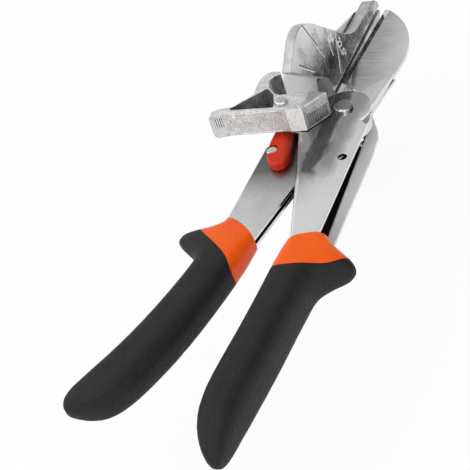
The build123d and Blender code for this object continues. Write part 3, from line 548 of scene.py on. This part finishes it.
def shaded_lever(paint, tint):
    """The lever's tint: painted shade darkening it towards the pivot, and nearly grey to the light that
    bounces off it.
    """
    x, y, _ = paint.axes()
    amount = paint.range(paint.sum(x, y, LEVER_SHADE_SLOPE), LEVER_SHADE_FADE, (0.0, LEVER_SHADE_AMOUNT))
    # Painted shade: the lever is darkened along a slanted band.
    tint = paint.mixed(amount, tint, LEVER_SHADE_COLOUR)
    diffuse = paint.node("ShaderNodeLightPath").outputs["Is Diffuse Ray"]
    return paint.mixed(paint.product(diffuse, BOUNCED_SHARE), tint, BOUNCED)


def glossy_plastic(name, tints, roughness, shaded=False):
    """Moulded glossy plastic with a faint orange-peel skin."""
    paint = Paint(name, tints[-1][1], roughness)
    skin = paint.noise(scale=260, detail=3)
    tint = paint.ramp(paint.noise(scale=70), tints)
    paint.set("Base Color", shaded_lever(paint, tint) if shaded else tint)
    paint.set("Roughness", paint.range(skin, NOISE_SPREAD, [roughness * share for share in GLOSS_WEAR]))
    paint.set("Specular IOR Level", GLOSS_SPECULAR)
    return paint.rounded(0.5 * MM).bump(skin, depth=0.08 * MM, strength=0.4).done()


# The grips: tints, how worn their grain and patches make them look, and the dust on them
RUBBER_TINTS = [(0.3, (0.004, 0.004, 0.0045)), (0.7, (0.011, 0.011, 0.012))]
RUBBER_PATCHES = 0.4
RUBBER_WEAR = (0.2, 1.0)
RUBBER_ROUGHNESS = (0.50, 0.70)
RUBBER_SPECULAR = 0.33
DUST = (0.10, 0.10, 0.10)
DUST_SPREAD = (0.70, 0.76)
DUST_AMOUNT = 0.5


def black_rubber():
    """Black rubber with a fine moulded grain and a few pale specks of dust."""
    paint = Paint("black_rubber", (0.008, 0.008, 0.009), roughness=0.6)
    grain = paint.cells(scale=1300)
    fine_grain = paint.noise(scale=2400, detail=3)
    patches = paint.noise(scale=90, detail=5)
    specks = paint.noise(scale=1100, detail=2)
    tint = paint.ramp(patches, RUBBER_TINTS)
    paint.set("Base Color", paint.mixed(paint.range(specks, DUST_SPREAD, (0.0, DUST_AMOUNT)), tint, DUST))
    wear = paint.sum(grain, patches, RUBBER_PATCHES)
    paint.set("Roughness", paint.range(wear, RUBBER_WEAR, RUBBER_ROUGHNESS))
    paint.set("Specular IOR Level", RUBBER_SPECULAR)
    paint.rounded(1.0 * MM).bump(paint.math("ADD", grain, fine_grain), depth=0.14 * MM, strength=0.7)
    return paint.done()


def dress_nodes():
    """Gives every CAD node its material."""
    channel_shade_bands = (THICK_SHADE_BAND, THIN_SHADE_BAND, FOOT_SHADE_BAND)
    finishes = (
        (polished_steel("channel_steel", (0.05, 0.12), channel_shade_bands, channel=True), ("anvil_frame",)),
        (polished_steel("polished_steel", (0.14, 0.26), (INNER_CHANNEL_SHADE_BAND,)), ("blade_frame",)),
        (polished_steel("bolt_steel", (0.05, 0.09), (BOLT_SHADE_BAND,)), ("pivot_bolt",)),
        (blade_steel(), ("blade", "blade_pins")),
        (wing_alloy(), ("anvil_casting",)),
        (stop_alloy(), ("angle_stop",)),
        (plated(), ("anvil_rivets", "pivot_bush", "pivot_washer", "pivot_nut", "lock_lever_rivet",
                    "lock_catch", "angle_stop_rivet")),
        (spring_steel(), ("handle_spring",)),
        (glossy_plastic("orange_plastic", ORANGE_TINTS, roughness=0.26),
         ("anvil_handle_collar", "blade_handle_collar")),
        (glossy_plastic("red_enamel", RED_TINTS, roughness=0.30, shaded=True), ("lock_lever",)),
        (black_rubber(), ("anvil_handle_grip", "blade_handle_grip")),
        (matte_plastic(), ("anvil_strip", "upper_spacer", "lower_spacer", "lock_lever_washer",
                           "angle_stop_washer")),
    )
    for finish, names in finishes:
        for name in names:
            materials = nodes[name].data.materials
            if not materials:
                materials.append(finish)
            for index in range(len(materials)):
                materials[index] = finish


# The wings' marked tables, in millimetres: near is the side of the bolt's head
WINGS = ((1, "near"), (-1, "far"))
TABLE_PLACE = -13.5
TABLE_LEAN = math.radians(5)
# The wing's numbers: word, where it starts and where it ends, along the slot and up the wing
WING_WORDS = (("45\u00b0", (4.7, 38.3), (6.6, 30.0)), ("22.5\u00b0", (21.9, 36.0), (23.4, 24.0)),
              ("0\u00b0", (33.6, 24.8), (35.0, 19.4)), ("22.5\u00b0", (41.2, 18.0), (42.6, 6.6)))
DULL_WORDS = 2
# The letters are made at one millimetre, and then scaled to the word's length. Their middle and their
# boldness are shares of their size.
LETTER_SIZE = 1 * MM
LETTER_MIDDLE = 0.35
LETTER_BOLDNESS = 0.025
LETTER_STEPS = 3
WORD_RELIEF = 0.1 * MM
# How far above the table a word starts, in millimetres
WORD_LIFT = 0.01


def table_out(side):
    """The direction out of a wing's table; the side is 1 for the near wing and -1 for the far one."""
    return Vector((math.cos(TABLE_LEAN), 0, side * math.sin(TABLE_LEAN)))


def table_point(along, up, side, out=0.0):
    """A place on a wing's table, from its distances in millimetres along the slot, up the wing and out."""
    across = TABLE_PLACE - up * math.sin(TABLE_LEAN) + out * math.cos(TABLE_LEAN)
    return Vector((across, along, side * (up * math.cos(TABLE_LEAN) + out * math.sin(TABLE_LEAN)))) * MM


def add_piece(name, mesh, material, body):
    """Adds a mesh as a piece of the castings, and lets it move with a body."""
    mesh.materials.clear()
    mesh.materials.append(material)
    piece = bpy.data.objects.new(name, mesh)
    bpy.context.scene.collection.objects.link(piece)
    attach(piece, body)


def add_word(name, word, start, end, side, material):
    """One number of the angle scale, raised a hair from the wing."""
    first, last = table_point(*start, side, WORD_LIFT), table_point(*end, side, WORD_LIFT)
    if side < 0:
        first, last = last, first
    data = bpy.data.curves.new(name, "FONT")
    data.body = word
    data.size = LETTER_SIZE
    data.resolution_u = LETTER_STEPS
    data.offset = LETTER_BOLDNESS * LETTER_SIZE
    letters = bpy.data.objects.new(name, data)
    bpy.context.scene.collection.objects.link(letters)
    bpy.context.view_layer.update()
    size = (last - first).length / letters.dimensions.x
    data.extrude = WORD_RELIEF / size
    mesh = bpy.data.meshes.new_from_object(letters.evaluated_get(bpy.context.evaluated_depsgraph_get()))
    bpy.data.objects.remove(letters)
    way, out = (last - first).normalized(), table_out(side)
    turn = Matrix((way, out.cross(way), out)).transposed().to_4x4()
    place = Matrix.Translation(first - out.cross(way) * size * LETTER_MIDDLE * LETTER_SIZE)
    mesh.transform(place @ turn @ Matrix.Scale(size, 4))
    add_piece(name, mesh, material, "anvil_side")


def add_slab(name, corner, along, out, lengths, edge, material, body):
    """A small slab with softened edges; its lengths are along it, across it and out of what carries it."""
    sides = (along * lengths[0], out.cross(along) * lengths[1], out * lengths[2])
    middle = corner + (sides[0] + sides[1] + sides[2]) / 2
    box = bmesh.new()
    bmesh.ops.create_cube(box, size=1.0)
    place = Matrix.Translation(middle) @ Matrix(sides).transposed().to_4x4()
    bmesh.ops.transform(box, matrix=place, verts=box.verts)
    bmesh.ops.bevel(box, geom=box.edges[:], offset=edge, segments=2, profile=0.5, affect="EDGES")
    bmesh.ops.recalc_face_normals(box, faces=box.faces[:])
    mesh = bpy.data.meshes.new(name)
    box.to_mesh(mesh)
    box.free()
    add_piece(name, mesh, material, body)


# The engraved lines, which fan out from one centre: the turn of each, and the shares of the wing's span at
# which it starts and ends. A bright edge, a painted highlight on the line's lip, runs beside each line,
# EDGE_PLACE millimetres from its middle.
MARK_CENTRE = 32.54
WING_SPAN = 46.7
MARK_LINES = ((67.5, 0.07, 0.50), (90.0, 0.32, 0.58), (112.5, 0.47, 0.86), (135.0, 0.65, 0.98))
EDGE_PLACE = 0.52
EDGE_WIDTH = 0.42 * MM
EDGE_HEIGHT = 0.14 * MM
EDGE_SOFTNESS = 0.02 * MM


def add_line_edge(name, turn, reaches, side, metal):
    """The bright raised edge along one engraved line: a painted highlight on its lip."""
    cos, sin = math.cos(math.radians(turn)), math.sin(math.radians(turn))
    start, end = [table_point(MARK_CENTRE + reach * WING_SPAN * cos - EDGE_PLACE * sin,
                              reach * WING_SPAN * sin + EDGE_PLACE * cos, side) for reach in reaches]
    # Painted highlight: a bright slab beside the line stands in for the lit lip of the groove.
    lengths = ((end - start).length, EDGE_WIDTH, EDGE_HEIGHT)
    add_slab(name, start, (end - start).normalized(), table_out(side), lengths, EDGE_SOFTNESS, metal,
             "anvil_side")


def add_scale():
    """The numbers and lines of the angle scale on both wings, with painted highlights beside the lines."""
    metal = worn_tops_and_highlights("word_metal")
    dull = worn_tops_and_highlights("dull_word_metal", 0.30, 0.55)
    for side, label in WINGS:
        for number, (word, start, end) in enumerate(WING_WORDS):
            material = dull if number < DULL_WORDS else metal
            add_word(f"{label}_wing_number_{number}", word, start, end, side, material)
    for side, label in WINGS:
        for number, (turn, *reaches) in enumerate(MARK_LINES):
            add_line_edge(f"{label}_wing_line_highlight_{number}", turn, reaches, side, metal)


# The angle stop's outer wall and the short wall at its free end, in millimetres
WALL_START = Vector((-47.63, -22.63, 0))
WALL_WAY = Vector((0.9862, 0.1656, 0))
WALL_OUT = Vector((0.1656, -0.9862, 0))
END_WAY = Vector((0.940, 0.3407, 0))
END_OUT = Vector((0.3407, -0.940, 0))
# Name, start along the wall, height, and the three lengths of each detail on the long wall
# The corner pad is a bright slab that stands in for a highlight on the wall's corner: a painted highlight.
WALL_DETAILS = (("corner_highlight", 28.75, 9.5, (7.9, 12.3, 0.62)), ("seam_tab", 3.2, 19.0, (1.7, 2.6, 0.30)),
                ("corner_rib", 35.5, 9.6, (0.9, 12.1, 0.72)), ("lower_rib", 5.2, 9.6, (20.0, 0.7, 0.15)),
                ("upper_rib", 5.6, 20.9, (19.4, 0.5, 0.12)))
DETAIL_EDGE = 0.10 * MM
DETAIL_SUNK = 0.05 * MM
# The grip ridges on the end wall: their dark bed of painted shade, and each bar's start and width as shares
# of its step
GRID_START = -6.0
GRID_LOW = 14.7
GRID_SIZE = (4.0 * MM, 5.4 * MM)
GRID_BARS = 4
BED_HEIGHT = 0.08 * MM
BED_EDGE = 0.02 * MM
BAR_START = 0.25
BAR_WIDTH = 0.5
BAR_HEIGHT = 0.30 * MM
BAR_EDGE = 0.06 * MM


def wall_point(way, along, up):
    """A place on the angle stop's outside, from its distances in millimetres along a wall and up it."""
    return (WALL_START + way * along + Vector((0, 0, up))) * MM


def add_stop_details():
    """The raised pads, ribs and grip ridges of the angle stop's casting; the bright corner pad is a painted
    highlight and the grid's dark bed is painted shade.
    """
    bright = worn_tops_and_highlights("bright_alloy")
    for name, start, low, lengths in WALL_DETAILS:
        corner = wall_point(WALL_WAY, start, low) - WALL_OUT * DETAIL_SUNK
        lengths = [length * MM for length in lengths]
        add_slab(f"stop_{name}", corner, WALL_WAY, WALL_OUT, lengths, DETAIL_EDGE, bright, "angle_stop")
    grid = wall_point(END_WAY, GRID_START, GRID_LOW)
    # Painted shade: a dark bed under the ridges stands in for the shade between them.
    add_slab("stop_grid_bed", grid - END_OUT * DETAIL_SUNK, END_WAY, END_OUT, (*GRID_SIZE, BED_HEIGHT),
             BED_EDGE, ridge_shade(), "angle_stop")
    step = GRID_SIZE[0] / GRID_BARS
    for bar in range(GRID_BARS):
        place = grid + END_WAY * (bar + BAR_START) * step
        lengths = (BAR_WIDTH * step, GRID_SIZE[1], BAR_HEIGHT)
        add_slab(f"stop_grid_bar_{bar}", place, END_WAY, END_OUT, lengths, BAR_EDGE, bright, "angle_stop")


# The floor: its size in metres, and how much of it is plain white to the camera and in the steel
FLOOR_SIZE = 30.0
FLOOR_GLOW = 0.92
FLOOR_COLOUR = (0.90, 0.90, 0.90)
FLOOR_ROUGHNESS = 0.9


def add_floor(low):
    """A pale floor that shows white to the camera and in the steel, and keeps a soft shadow."""
    half = FLOOR_SIZE / 2
    corners = [(-half, -half, low), (half, -half, low), (half, half, low), (-half, half, low)]
    mesh = bpy.data.meshes.new("floor")
    mesh.from_pydata(corners, [], [(0, 1, 2, 3)])
    floor = bpy.data.objects.new("floor", mesh)
    bpy.context.scene.collection.objects.link(floor)
    paint = Paint("floor", FLOOR_COLOUR, FLOOR_ROUGHNESS)
    paint.set("Specular IOR Level", 0.0)
    rays = paint.node("ShaderNodeLightPath").outputs
    seen = paint.math("MAXIMUM", rays["Is Camera Ray"], rays["Is Glossy Ray"])
    glow = paint.node("ShaderNodeEmission")
    mix = paint.node("ShaderNodeMixShader")
    paint.link(paint.product(seen, FLOOR_GLOW), mix.inputs["Fac"])
    paint.link(paint.shader.outputs["BSDF"], mix.inputs[1])
    paint.link(glow.outputs["Emission"], mix.inputs[2])
    paint.link(mix.outputs["Shader"], paint.found("Material Output").inputs["Surface"])
    mesh.materials.append(paint.done())


# What the steel mirrors, in steps of brightness. The arch and the shade are rings around a centre, and the
# streak is a band beside a line, where the gate lets it through. They lie on a plane one unit ahead of the
# camera's mirror image. The corner lies around one direction. A span is the distance that a ramp covers.
MIRROR = Vector((1, 1, -1))
MIRROR_RIGHT, MIRROR_UP, MIRROR_BACK = [way * MIRROR for way in camera_turn().transposed()]
LEAST_AHEAD = 0.05
ARCH_CENTRE = (0.016, 0.145)
ARCH_SPAN = 0.25
ARCH_STEPS = [(0.0, 0.80), (0.28, 0.80), (0.31, 0.10), (0.37, 0.12), (0.40, 0.50), (0.44, 0.92), (1.0, 1.0)]
SHADE_CENTRE = (0.0375, 0.0783)
SHADE_SPAN = 0.05
SHADE_STEPS = [(0.34, 0.22), (0.77, 1.0)]
STREAK_START = (0.1233, 0.1533)
STREAK_OUT = (0.932, -0.363)
STREAK_SHIFT = 0.05
STREAK_SPAN = 0.1
STREAK_STEPS = [(0.157, 1.0), (0.232, 0.25), (0.58, 0.25), (0.84, 1.0)]
STREAK_GATE = [(0.1287, 1.0), (0.1447, 0.0)]
CORNER_RAY = (0.571, 0.592, 0.570)
CORNER_STEPS = [(0.90, 1.0), (0.965, 0.10)]
STUDIO_STEPS = [(0.40, 0.62), (0.60, 0.95)]
WHITE = (1.0, 1.0, 1.0)


def add_world():
    """A bright studio with dark shapes for the steel to mirror, which is white to the camera."""
    world = bpy.data.worlds.new("studio")
    bpy.context.scene.world = world
    world.use_nodes = True
    tree = Tree(world.node_tree, "Generated")

    def along(way):
        return tree.vector("DOT_PRODUCT", tree.place, way, "Value")

    ahead = tree.math("MAXIMUM", along(-MIRROR_BACK), LEAST_AHEAD)
    side = tree.math("DIVIDE", along(MIRROR_RIGHT), ahead)
    rise = tree.math("DIVIDE", along(MIRROR_UP), ahead)

    def from_point(point):
        return tree.math("SUBTRACT", side, point[0]), tree.math("SUBTRACT", rise, point[1])

    def ring(centre, span, stops):
        return tree.ramp(tree.product(tree.length(*from_point(centre)), 1 / span), stops)

    over, up = from_point(STREAK_START)
    out = tree.math("ADD", tree.product(over, STREAK_OUT[0]), tree.product(up, STREAK_OUT[1]))
    out = tree.product(tree.math("ADD", out, STREAK_SHIFT), 1 / STREAK_SPAN)
    streak = tree.vector("MAXIMUM", tree.ramp(out, STREAK_STEPS), tree.ramp(rise, STREAK_GATE))
    # The corner's cosine goes from -1 to 1, and a ramp's places from 0 to 1
    corner = tree.ramp(tree.sum(0.5, along(CORNER_RAY), 0.5), CORNER_STEPS)
    light = tree.ramp(tree.noise(scale=1.8, detail=1.0, roughness=0.5), STUDIO_STEPS)
    arch = ring(ARCH_CENTRE, ARCH_SPAN, ARCH_STEPS)
    shade = ring(SHADE_CENTRE, SHADE_SPAN, SHADE_STEPS)
    for part in (arch, shade, streak, corner):
        light = tree.vector("MULTIPLY", light, part)
    camera_ray = tree.node("ShaderNodeLightPath").outputs["Is Camera Ray"]
    tree.link(tree.mixed(camera_ray, light, WHITE), tree.found("Background").inputs["Color"])


# Lamps, which shine at the part: name, place and size in metres, and power in watts
LAMPS = (("key", (-0.8, -0.2, 1.0), 1.2, 6.5), ("fill", (0.9, -0.9, 0.7), 1.4, 5.5))


def add_light(name, place, size, power):
    """A square soft light."""
    data = bpy.data.lights.new(name, "AREA")
    data.size = size
    data.energy = power
    light = bpy.data.objects.new(name, data)
    light.location = place
    light.rotation_euler = (-Vector(place)).to_track_quat("-Z", "Y").to_euler()
    bpy.context.scene.collection.objects.link(light)


def add_studio():
    """Floor, world and lights."""
    add_floor(cad_box[0][2])
    add_world()
    for lamp in LAMPS:
        add_light(*lamp)


add_camera()
dress_nodes()
add_scale()
add_stop_details()
add_studio()
bpy.context.scene.view_settings.view_transform = "Standard"
